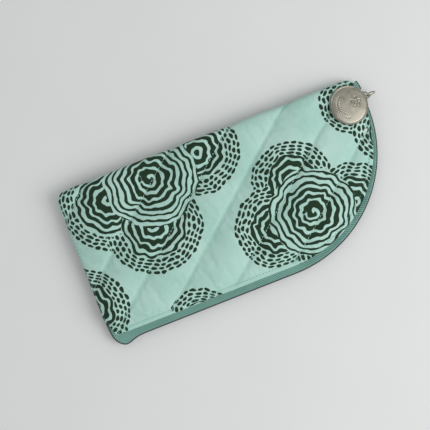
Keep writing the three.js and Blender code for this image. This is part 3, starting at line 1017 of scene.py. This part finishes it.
def spine_layer(name, depth, thickness, material, slot, node):
    """Cloth or wadding of the spine, between the rims of the two leaves' covers."""
    columns = spine_columns()
    rows = 9
    t = np.linspace(0, 1, rows)[:, None, None]
    band = mix(front_leaf.outer[columns], back_leaf.outer[columns], t)
    flat = mix(front_leaf.cloth_flat[columns], back_leaf.cloth_flat[columns], t)
    sink = valley(flat.reshape(-1, 2)).reshape(rows, -1)
    inside = np.ones(rows)
    inside[0] = inside[-1] = 0
    start = mix(front_leaf.sink[columns], back_leaf.sink[columns], t[:, :, 0])
    band[:, :, 1] -= inside[:, None] * (sink - start)
    outer = band - np.array([0, depth, 0])
    inner = band - np.array([0, depth + thickness, 0])
    count = rows * len(columns)
    quads = grid_faces(rows, len(columns))
    rim = grid_rim(rows, len(columns))
    faces = flipped(quads) + [tuple(q + count) for q in quads]
    faces += [(a, b, b + count, a + count) for a, b in zip(rim, rim[1:] + rim[:1])]
    points = np.vstack([outer.reshape(-1, 3), inner.reshape(-1, 3)])
    piece = mesh_piece(name, points, faces, material, np.vstack([flat.reshape(-1, 2)] * 2))
    dress(piece, slot, node)
    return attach(piece, "spine")


sew(front_leaf)
sew(back_leaf)

spine_cover = spine_layer("spine_cover", 0, COVER * 0.35, front_cotton, "printed_cotton", "spine_outer")
spine_pad = spine_layer("spine_wadding_pad", 0.9, 0.9, fleece, "wadding", "spine_wadding")
spine_lining = spine_layer("spine_lining_cloth", 2.3, LINING, lining_cotton, "lining_cotton",
                           "spine_lining")


# ---- Zip -----------------------------------------------------------------------------------------

ZIP_CENTRE = np.array([138.3, 90.3])
ZIP_RADIUS = 90.3
FRONT_ZIP_END = math.radians(8.3)
BACK_ZIP_END = math.radians(2.5)


def zip_outline(inset, end):
    """The zip's line at an inset, from the square end's spine corner round to an angle."""
    corner = max(8 - inset, 1.0)
    radius = ZIP_RADIUS - inset
    last = ZIP_CENTRE + radius * np.array([math.cos(end), math.sin(end)])
    line = np.vstack([
        straight((inset, ZIP_START), (inset, inset + corner), 90),
        arc(inset + corner, inset + corner, corner, math.pi, 1.5 * math.pi, 16),
        straight((inset + corner, inset), (ZIP_CENTRE[0], inset), 120),
        arc(*ZIP_CENTRE, radius, -math.pi / 2, end, 150),
        last[None, :],
    ])
    # The corner of the tape stands out a little, as a folded corner does.
    near = np.exp(-((line[:, 0] - 6) ** 2 + (line[:, 1] - 1) ** 2) / 81)
    return line + np.outer(near, (2.2, -2.9))


def mirrored(points):
    """The same points below the zip plane."""
    turned = points.copy()
    turned[..., 2] = 2 * ZIP_PLANE - turned[..., 2]
    return turned


def zip_strip(name, section, end, front, material, slot, node):
    """A strip along the zip; its closed section is a list of insets and heights over the zip."""
    plans = [zip_outline(inset, end) for inset, _ in section]
    heights = [np.full(len(plan), ZIP_PLANE + up) for plan, (_, up) in zip(plans, section)]
    points = np.dstack([np.stack(plans), np.stack(heights)])
    run, wide = run_lengths(points[0]), run_lengths(section)
    flat = np.dstack(np.broadcast_arrays(run[None, :], wide[:, None]))
    faces = strip_faces(len(section), len(run))
    if not front:
        points = mirrored(points)
        faces = flipped(faces)
    piece = mesh_piece(name, points.reshape(-1, 3), faces, material, flat.reshape(-1, 2))
    dress(piece, slot, node)
    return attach(piece, "front_leaf" if front else "back_leaf")


COIL_PITCH = 1.06
COIL_STEPS = 12  # points in each turn
COIL = {"inset": 0.98, "across": 0.68, "height": 0.5, "wire": 0.26, "centre": 0.52}


def coil(front, end):
    """A nylon coil along the zip's edge; the two coils lie half a turn apart, so they mesh."""
    line = zip_outline(COIL["inset"], end)
    lengths = run_lengths(line)
    count = int(lengths[-1] / COIL_PITCH * COIL_STEPS)
    run = np.arange(count) * COIL_PITCH / COIL_STEPS
    x, y = at_runs(run, lengths, line).T
    tangent = np.stack([np.gradient(x), np.gradient(y)], 1)
    tangent /= np.linalg.norm(tangent, axis=1, keepdims=True)
    outward = np.column_stack([tangent[:, 1], -tangent[:, 0]])
    phase = 2 * math.pi * run / COIL_PITCH + (0 if front else math.pi)
    plan = np.stack([x, y], 1) + outward * (COIL["across"] * np.cos(phase))[:, None]
    up = ZIP_PLANE + COIL["centre"] + COIL["height"] * np.sin(phase)
    points = np.column_stack([plan, up])
    if not front:
        points = mirrored(points)
    made, faces = tube(points, COIL["wire"], 5)
    side = "front" if front else "back"
    piece = mesh_piece("zip_coil_" + side + "_turns", made, faces, nylon)
    dress(piece, "zip_coil", "zip_coil_" + side)
    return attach(piece, side + "_leaf")


TAPE_SECTION = [(1.25, 1.36), (1.15, 1.52), (1.35, 1.70), (1.9, 1.66), (2.6, 1.25), (3.4, 0.85),
                (4.6, 0.68), (7.0, 0.64), (9.5, 0.62), (9.5, 0.26), (7.0, 0.26), (4.6, 0.28),
                (3.4, 0.45), (2.6, 0.85), (1.9, 1.28)]
BINDING_SECTION = [(9.7, 0.3), (9.6, 0.5), (9.9, 0.72), (10.6, 0.95), (12.2, 1.5), (12.7, 1.5),
                   (12.8, 1.25), (12.3, 1.0), (11.0, 0.5), (10.2, 0.25)]

for is_front, zip_end in ((True, FRONT_ZIP_END), (False, BACK_ZIP_END)):
    side_name = "front" if is_front else "back"
    tape = zip_strip("zip_tape_" + side_name + "_cloth", TAPE_SECTION, zip_end, is_front, twill,
                     "zip_tape", "zip_tape_" + side_name)
    zip_strip(side_name + "_seam_binding_cloth", BINDING_SECTION, zip_end, is_front,
              binding_cotton, "binding_cotton", side_name + "_seam_binding")
    coil(is_front, zip_end)


# ---- Stops and end tab ---------------------------------------------------------------------------


def turned(profile, sides=48, squareness=2.0, stretch=(1.0, 1.0)):
    """A closed body about the Z axis from a profile of radius and height that starts at the
    bottom and ends at the top; a squareness above 2 makes its plan a rounded box."""
    angle = np.linspace(0, 2 * math.pi, sides, endpoint=False)
    c, s = np.cos(angle), np.sin(angle)
    reach = (np.abs(c) ** squareness + np.abs(s) ** squareness) ** (-1 / squareness)
    plan = np.stack([c * reach * stretch[0], s * reach * stretch[1]], 1)
    rings = [np.column_stack([plan * radius, np.full(sides, height)]) for radius, height in profile]
    middle = [(0, 0, profile[0][1]), (0, 0, profile[-1][1])]
    points = np.vstack([*rings, middle])
    faces = [tuple(q) for q in grid_faces(len(profile), sides, closed_columns=True)]
    low, high, last = len(points) - 2, len(points) - 1, (len(profile) - 1) * sides
    for i in range(sides):
        j = (i + 1) % sides
        faces.append((low, j, i))
        faces.append((high, last + i, last + j))
    return points, faces


def rounded(half, height, edge):
    """Profile of a rounded block: half width 1, from -height to height."""
    side = 1 - edge / half
    return [(side * 0.5, -height), (side, -height), (1 - 0.3 * edge / half, -height + 0.3 * edge),
            (1, -height + edge), (1, height - edge), (1 - 0.3 * edge / half, height - 0.3 * edge),
            (side, height), (side * 0.5, height)]


def at_zip(points, angle=math.radians(5.5)):
    """Places drawn with X outwards from the zip's edge, Y along it and Z up from the zip plane,
    moved to an angle round the curved end; the slider is parked at the angle given first."""
    x, y, z = points[..., 0] + ZIP_RADIUS, points[..., 1], points[..., 2]
    c, s = math.cos(angle), math.sin(angle)
    return np.stack([ZIP_CENTRE[0] + x * c - y * s, ZIP_CENTRE[1] + x * s + y * c, ZIP_PLANE + z], -1)


def fitting(name, body, slot, node, points, faces, material, uv=None):
    piece = mesh_piece(name, points, faces, material, uv)
    if node:
        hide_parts(node)
    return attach(piece, body)


TOP_STOP = {"angle": math.radians(8.75), "half": (1.0, 0.39), "height": 0.62, "middle": (-1.0, 1.02)}
block, block_faces = turned(rounded(1.0, TOP_STOP["height"], 0.25), 40, 6.0, TOP_STOP["half"])
block = block + np.array([TOP_STOP["middle"][0], 0, TOP_STOP["middle"][1]])
fitting("zip_top_stop_clip", "front_leaf", "nickel", "zip_top_stop",
        at_zip(block, TOP_STOP["angle"]), block_faces, nickel)

BOTTOM_STOP = {"half": (1.0, 0.9), "height": 1.3, "middle": (1.2, 99.4)}
block, block_faces = turned(rounded(1.0, BOTTOM_STOP["height"], 0.35), 40, 5.0, BOTTOM_STOP["half"])
fitting("zip_bottom_stop_clip", "back_leaf", "nickel", "zip_bottom_stop",
        block + np.array([*BOTTOM_STOP["middle"], ZIP_PLANE]), block_faces, nickel)


def end_tab():
    """Fold of tape over the zip's end, with the last turns of the coil along its edge."""
    start, end, steps, standing_out = math.radians(9.0), math.radians(13.3), 14, 1.6
    section = [(-1.0, 0.1), (-1.1, 0.42), (-2.0, 0.55), (-4.6, 0.52), (-5.2, 0.42), (-5.45, 0.2),
               (-5.45, -0.2), (-5.2, -0.42), (-4.6, -0.52), (-2.0, -0.55), (-1.1, -0.42), (-1.0, -0.1)]
    angles = np.linspace(start, end, steps)
    pointed = 1 - 0.35 * smooth((angles - end + 0.035) / 0.035)
    strips = []
    for out, up in section:
        reach = standing_out - 1.0 + (out + 1.0) * pointed
        line = np.column_stack([reach, 0 * angles, up * (0.7 + 0.3 * pointed)])
        strips.append(np.array([at_zip(p, a) for p, a in zip(line, angles)]))
    points = np.array(strips)
    run = np.broadcast_to(angles * ZIP_RADIUS, points.shape[:2])
    wide = np.broadcast_to(np.array([-o for o, _ in section])[:, None], points.shape[:2])
    fitting("zip_end_tab_fold", "back_leaf", "zip_tape", "zip_end_tab", points.reshape(-1, 3),
            strip_faces(len(section), steps), twill, np.dstack([run, wide]).reshape(-1, 2))
    turns = np.arange(start, end, COIL_PITCH / COIL_STEPS / ZIP_RADIUS)
    phase = turns * ZIP_RADIUS * 2 * math.pi / COIL_PITCH
    wire = np.stack([standing_out - 0.75 + 0.42 * np.cos(phase), 0 * phase, 0.5 * np.sin(phase)], 1)
    wire, wire_faces = tube(np.array([at_zip(p, a) for p, a in zip(wire, turns)]), COIL["wire"], 6)
    fitting("zip_end_tab_coil", "back_leaf", "zip_coil", None, wire, wire_faces, nylon)


end_tab()


# ---- Slider, ring and charm ----------------------------------------------------------------------

SLIDER = {"length": 8.0, "half_height": 2.3, "outer": 1.0, "inner": -1.9, "plate": 0.6}
BAIL = [(0.3, -2.35), (1.2, -2.45), (2.3, -2.25), (3.0, -1.4), (3.1, 0.0), (3.0, 1.4), (2.3, 2.25),
        (1.2, 2.45), (0.3, 2.35)]
BAIL_WIRE = 0.42
RING = {"radius": 3.1, "wire": 0.4, "lean": math.radians(110), "middle": (4.8, -0.38, 1.03)}
CHARM = {"radius": 14.0, "rim": 0.9, "dome": 2.4, "in": 13.3, "tilt": math.radians(11.5)}
EYELET = {"out": 2.27, "along": -0.97, "up": 2.25, "radius": 1.35, "wire": 0.4}


def slider_body():
    """Two shields joined by a nose, with flanges that wrap the coils and a bail of round wire."""
    half = SLIDER["length"] / 2
    width = (SLIDER["outer"] - SLIDER["inner"]) / 2
    middle = (SLIDER["outer"] + SLIDER["inner"]) / 2
    parts = []
    shield = [(0.5, -0.3), (0.93, -0.3), (1.0, -0.2), (1.0, 0.02), (0.96, 0.14), (0.8, 0.24),
              (0.5, 0.3), (0.2, 0.32)]
    for side in (1, -1):
        points, faces = turned(shield, 64, 3.4, (width, half))
        # Each shield narrows towards the nose, where the two coils part.
        points[:, 0] *= 1 - 0.16 * smooth((points[:, 1] / half + 0.2) / 1.2)
        points += np.array([middle, 0, SLIDER["half_height"] - 0.34])
        if side < 0:
            points[:, 2] *= -1
            faces = flipped(faces)
        parts.append((points, faces))
    flange, flange_faces = turned(rounded(0.5, SLIDER["half_height"] - 0.3, 0.2), 40, 5.0,
                                  (SLIDER["plate"] / 2, half * 0.93))
    parts.append((flange + np.array([SLIDER["outer"] - 0.3, 0, 0]), flange_faces))
    nose, nose_faces = turned(rounded(0.5, SLIDER["half_height"] - 0.3, 0.1), 32, 2.5, (0.55, 0.8))
    parts.append((nose + np.array([-0.5, half * 0.8, 0]), nose_faces))
    wire = along(np.column_stack([np.array(BAIL), np.zeros(len(BAIL))]), 60)
    parts.append(tube(wire, BAIL_WIRE, 14))
    points, faces = merged(parts)
    return at_zip(points), faces


def split_ring():
    """A jump ring: a wire bent round until its ends meet."""
    angle = np.radians(np.linspace(42, 398, 110))
    x, y = RING["radius"] * np.cos(angle), RING["radius"] * np.sin(angle)
    lean = RING["lean"]
    points = np.stack([x, y * math.cos(lean), y * math.sin(lean)], 1) + np.array(RING["middle"])
    points, faces = tube(points, RING["wire"], 16)
    return at_zip(points), faces


def engraving(x, y):
    """Depth of the plain flower and the bands of dots cut into the charm."""
    def groove(distance, width):
        return np.exp(-((distance / width) ** 2))

    fx, fy = x - 5.2, y
    reach, angle = np.hypot(fx, fy), np.arctan2(fy, fx)
    depth = groove(reach - (2.9 + 0.9 * np.cos(5 * angle)), 0.3)
    depth += groove(reach - 1.0, 0.26)
    radius, turn = np.hypot(x, y), np.arctan2(y, -x)
    for band, count in ((9.2, 40), (6.9, 30)):
        beat = turn * count / (2 * math.pi)
        off = (beat - np.round(beat)) * 2 * math.pi * band / count
        on = np.abs(turn) < math.radians(66 if band > 8 else 48)
        depth += on * np.exp(-((off / 0.42) ** 2) - ((radius - band) / 0.42) ** 2)
    return np.clip(depth, 0, 1)


def charm_body():
    """A domed disc with a bead round its rim, and an eyelet on a short neck."""
    sides = 240
    top = np.linspace(13.7, 0.2, 78)
    profile = [(2.0, 0.0), (8.0, 0.0), (13.5, 0.0), (13.85, 0.12), (14.0, 0.4), (13.95, 0.75)]
    crown = CHARM["rim"] + 0.55 * (CHARM["dome"] - CHARM["rim"]) * (1 - (top / CHARM["radius"]) ** 2)
    bead = 0.4 * np.exp(-(((top - 13.4) / 0.3) ** 2)) - 0.12 * np.exp(-(((top - 12.7) / 0.3) ** 2))
    profile += list(zip(top, crown + bead))
    points, faces = turned(profile, sides)
    face_up = points[:, 2] > 0.8
    points[:, 2] -= face_up * 0.26 * engraving(points[:, 0], points[:, 1])
    tilt = CHARM["tilt"]
    points[:, 0] -= (EYELET["out"] + CHARM["in"]) / math.cos(tilt)
    angle = np.linspace(0, 2 * math.pi, 72, endpoint=False)
    loop = np.stack([np.cos(angle), np.sin(angle), 0 * angle], 1) * EYELET["radius"]
    eyelet = tube(loop + np.array([0, 0, 0.4]), EYELET["wire"], 16, closed=True)
    neck = np.column_stack([np.linspace(-3.4, -1.2, 12), np.zeros(12), np.full(12, 0.42)])
    points, faces = merged([(points, faces), eyelet, tube(neck, 0.5, 14)])
    x, z = points[:, 0].copy(), points[:, 2].copy()
    points[:, 0] = x * math.cos(tilt) + z * math.sin(tilt) + EYELET["out"]
    points[:, 1] += EYELET["along"]
    points[:, 2] = -x * math.sin(tilt) + z * math.cos(tilt) + EYELET["up"]
    return at_zip(points), faces


fitting("slider_body", "slider", "nickel", "zip_slider", *slider_body(), nickel)
fitting("split_ring", "ring", "nickel", "pull_ring", *split_ring(), nickel)
fitting("engraved_charm", "charm", "nickel", "charm_disc", *charm_body(), nickel)


# ---- Brush pocket and label ----------------------------------------------------------------------

pocket_box = [np.array(v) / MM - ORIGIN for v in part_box("brush_pocket_panel")]
binding_box = [np.array(v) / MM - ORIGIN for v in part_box("brush_pocket_binding")]
label_box = [np.array(v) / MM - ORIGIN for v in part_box("care_label")]
CHANNELS = 7
POCKET_FLOOR = 3.45
POCKET_CROWN = 4.75
POCKET_RISE = 0.4  # the cloth's top over the pocket's floor at a seam
SEAM_INSET = 0.8  # the pocket's outer seams, in from its edges


def channel_height(x, y):
    """Top of the pocket's cloth: puffed between its seams, and more so towards its mouth."""
    low, high = pocket_box[0], pocket_box[1]
    beat = (y - low[1]) / (high[1] - low[1]) * CHANNELS
    across = np.abs(np.sin(math.pi * beat)) ** 0.5
    run = smooth((x - low[0]) / 12) * (0.62 + 0.38 * smooth((x - low[0]) / (high[0] - low[0])))
    return POCKET_FLOOR + POCKET_RISE + (POCKET_CROWN - POCKET_FLOOR - POCKET_RISE) * across * run


def cloth_sheet(name, xs, ys, height, thickness, material, slot, node):
    """A rectangle of cloth, its top at a height worked out from its plan, with closed edges."""
    plan = np.dstack(np.meshgrid(xs, ys)).reshape(-1, 2)
    top = height(plan[:, 0], plan[:, 1])
    count = len(plan)
    points = np.vstack([np.column_stack([plan, top]), np.column_stack([plan, top - thickness])])
    quads = grid_faces(len(ys), len(xs))
    rim = grid_rim(len(ys), len(xs))
    faces = [tuple(q) for q in quads] + flipped(quads + count)
    faces += [(b, a, a + count, b + count) for a, b in zip(rim, rim[1:] + rim[:1])]
    return fitting(name, "back_leaf", slot, node, points, faces, material, np.vstack([plan, plan]))


def pocket():
    low, high = pocket_box
    xs = np.linspace(low[0], high[0], 110)
    ys = np.linspace(low[1], high[1], 141)

    def height(x, y):
        crease = 0.07 * rough(np.column_stack([x, y, 0 * x]), 5.0, 5)
        return channel_height(x, y) + crease * smooth((x - low[0]) / 8)

    panel = cloth_sheet("brush_pocket_cloth", xs, ys, height, 0.35, lining_cotton, "lining_cotton",
                        "brush_pocket_panel")
    seams = []
    pitch = (high[1] - low[1]) / CHANNELS
    for y in np.arange(CHANNELS + 1) * pitch + low[1]:
        y = min(max(y, low[1] + SEAM_INSET), high[1] - SEAM_INSET)
        for x in stitch_runs(low[0] + SEAM_INSET, high[0]):
            seams.append(np.column_stack([x, 0 * x + y, height(x, 0 * x + y) + 0.05]))
    for y in stitch_runs(low[1] + SEAM_INSET, high[1]):
        x = 0 * y + low[0] + SEAM_INSET
        seams.append(np.column_stack([x, y, height(x, y) + 0.05]))
    row_of = stitch_row(seams, "brush_pocket_stitches", green_thread)
    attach(row_of, "back_leaf")


def pocket_edge():
    """Bias binding folded over the mouth of the pocket."""
    low, high = binding_box
    ys = np.linspace(low[1], high[1], 141)
    section = [(-0.2, 0.08), (0.6, 0.2), (2.0, 0.22), (2.75, 0.1), (3.0, -0.2), (2.75, -0.5),
               (2.0, -0.6), (0.6, -0.58), (-0.2, -0.45), (-0.25, -0.2)]
    mouth = channel_height(np.full_like(ys, pocket_box[1][0]), ys)
    points = np.stack([np.column_stack([np.full_like(ys, low[0] + out), ys, mouth + up])
                       for out, up in section])
    points[..., 2] = np.maximum(points[..., 2], POCKET_FLOOR)
    uv = np.dstack(np.broadcast_arrays(ys[None, :], run_lengths(section)[:, None])).reshape(-1, 2)
    faces = flipped(strip_faces(len(section), len(ys)))
    fitting("brush_pocket_edge_binding", "back_leaf", "binding_cotton", "brush_pocket_binding",
            points.reshape(-1, 3), faces, binding_cotton, uv)
    seams = []
    for y in stitch_runs(low[1] + 0.6, high[1]):
        crown = channel_height(0 * y + pocket_box[1][0], y)
        seams.append(np.column_stack([0 * y + low[0] + 0.6, y, crown + 0.24]))
    row_of = stitch_row(seams, "pocket_binding_stitches", green_thread)
    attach(row_of, "back_leaf")


def blank_label():
    low, high = label_box
    xs, ys = np.linspace(low[0], high[0], 40), np.linspace(low[1], high[1], 26)

    def height(x, y):
        curl = 0.5 * smooth((x - low[0]) / (high[0] - low[0])) ** 2
        return low[2] + 0.12 + curl + 0.12 * np.sin((y - low[1]) * 0.5) * smooth((x - low[0]) / 10)

    label = cloth_sheet("blank_care_label", xs, ys, height, 0.16, satin, "label_satin", "care_label")
    x = np.full(STITCH_POINTS, low[0] + 0.9)
    seams = []
    for start in np.arange(low[1] + 0.8, high[1] - 1.8, 2.0):
        y = np.linspace(start, start + 1.5, STITCH_POINTS)
        seams.append(np.column_stack([x, y, height(x, y) + 0.05]))
    row_of = stitch_row(seams, "care_label_stitches", mint_thread, 0.14)
    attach(row_of, "back_leaf")


pocket()
pocket_edge()
blank_label()


# ---- Camera, light and table ---------------------------------------------------------------------

VIEW_TURN = math.radians(21.5)
right = Vector((math.cos(VIEW_TURN), -math.sin(VIEW_TURN), 0))
up = Vector((math.sin(VIEW_TURN), math.cos(VIEW_TURN), 0))
LOOKS_AT = {"right": -18.06, "up": -4.55}  # from the middle of the case, in the picture's directions
CAMERA_HEIGHT = 0.629
target = LOOKS_AT["right"] * MM * right + LOOKS_AT["up"] * MM * up
camera = bpy.data.objects.new("camera", bpy.data.cameras.new("camera"))
camera.data.lens = 74
camera.data.sensor_width = 36
camera.location = target + Vector((0, 0, CAMERA_HEIGHT))
camera.rotation_euler = (0, 0, -VIEW_TURN)
bpy.context.collection.objects.link(camera)
bpy.context.scene.camera = camera
bpy.context.scene.view_settings.view_transform = "Standard"

world = bpy.data.worlds.new("studio")
world.use_nodes = True
world.node_tree.nodes["Background"].inputs[0].default_value = (0.985, 0.985, 1.0, 1)
world.node_tree.nodes["Background"].inputs[1].default_value = 0.585
bpy.context.scene.world = world


def softbox(name, place, size, power):
    light = bpy.data.objects.new(name, bpy.data.lights.new(name, "AREA"))
    light.data.size = size
    light.data.energy = power
    light.location = place
    light.rotation_euler = (target - Vector(place)).to_track_quat("-Z", "Y").to_euler()
    bpy.context.collection.objects.link(light)


softbox("window", target + right * 0.85 - up * 0.15 + Vector((0, 0, 0.75)), 0.8, 7.4)


TABLE_DROP = -0.02  # just under the case, so that the two faces don't meet


def table_top():
    """A large pale table with a slightly uneven painted face."""
    half, steps = 1500.0, 40
    xs = np.linspace(-half, half, steps)
    plan = np.dstack(np.meshgrid(xs, xs)).reshape(-1, 2)
    points = np.column_stack([plan, np.full(len(plan), TABLE_DROP)]) - ORIGIN
    piece = mesh_piece("table", points, [tuple(q) for q in grid_faces(steps, steps)], pale_table())


table_top()
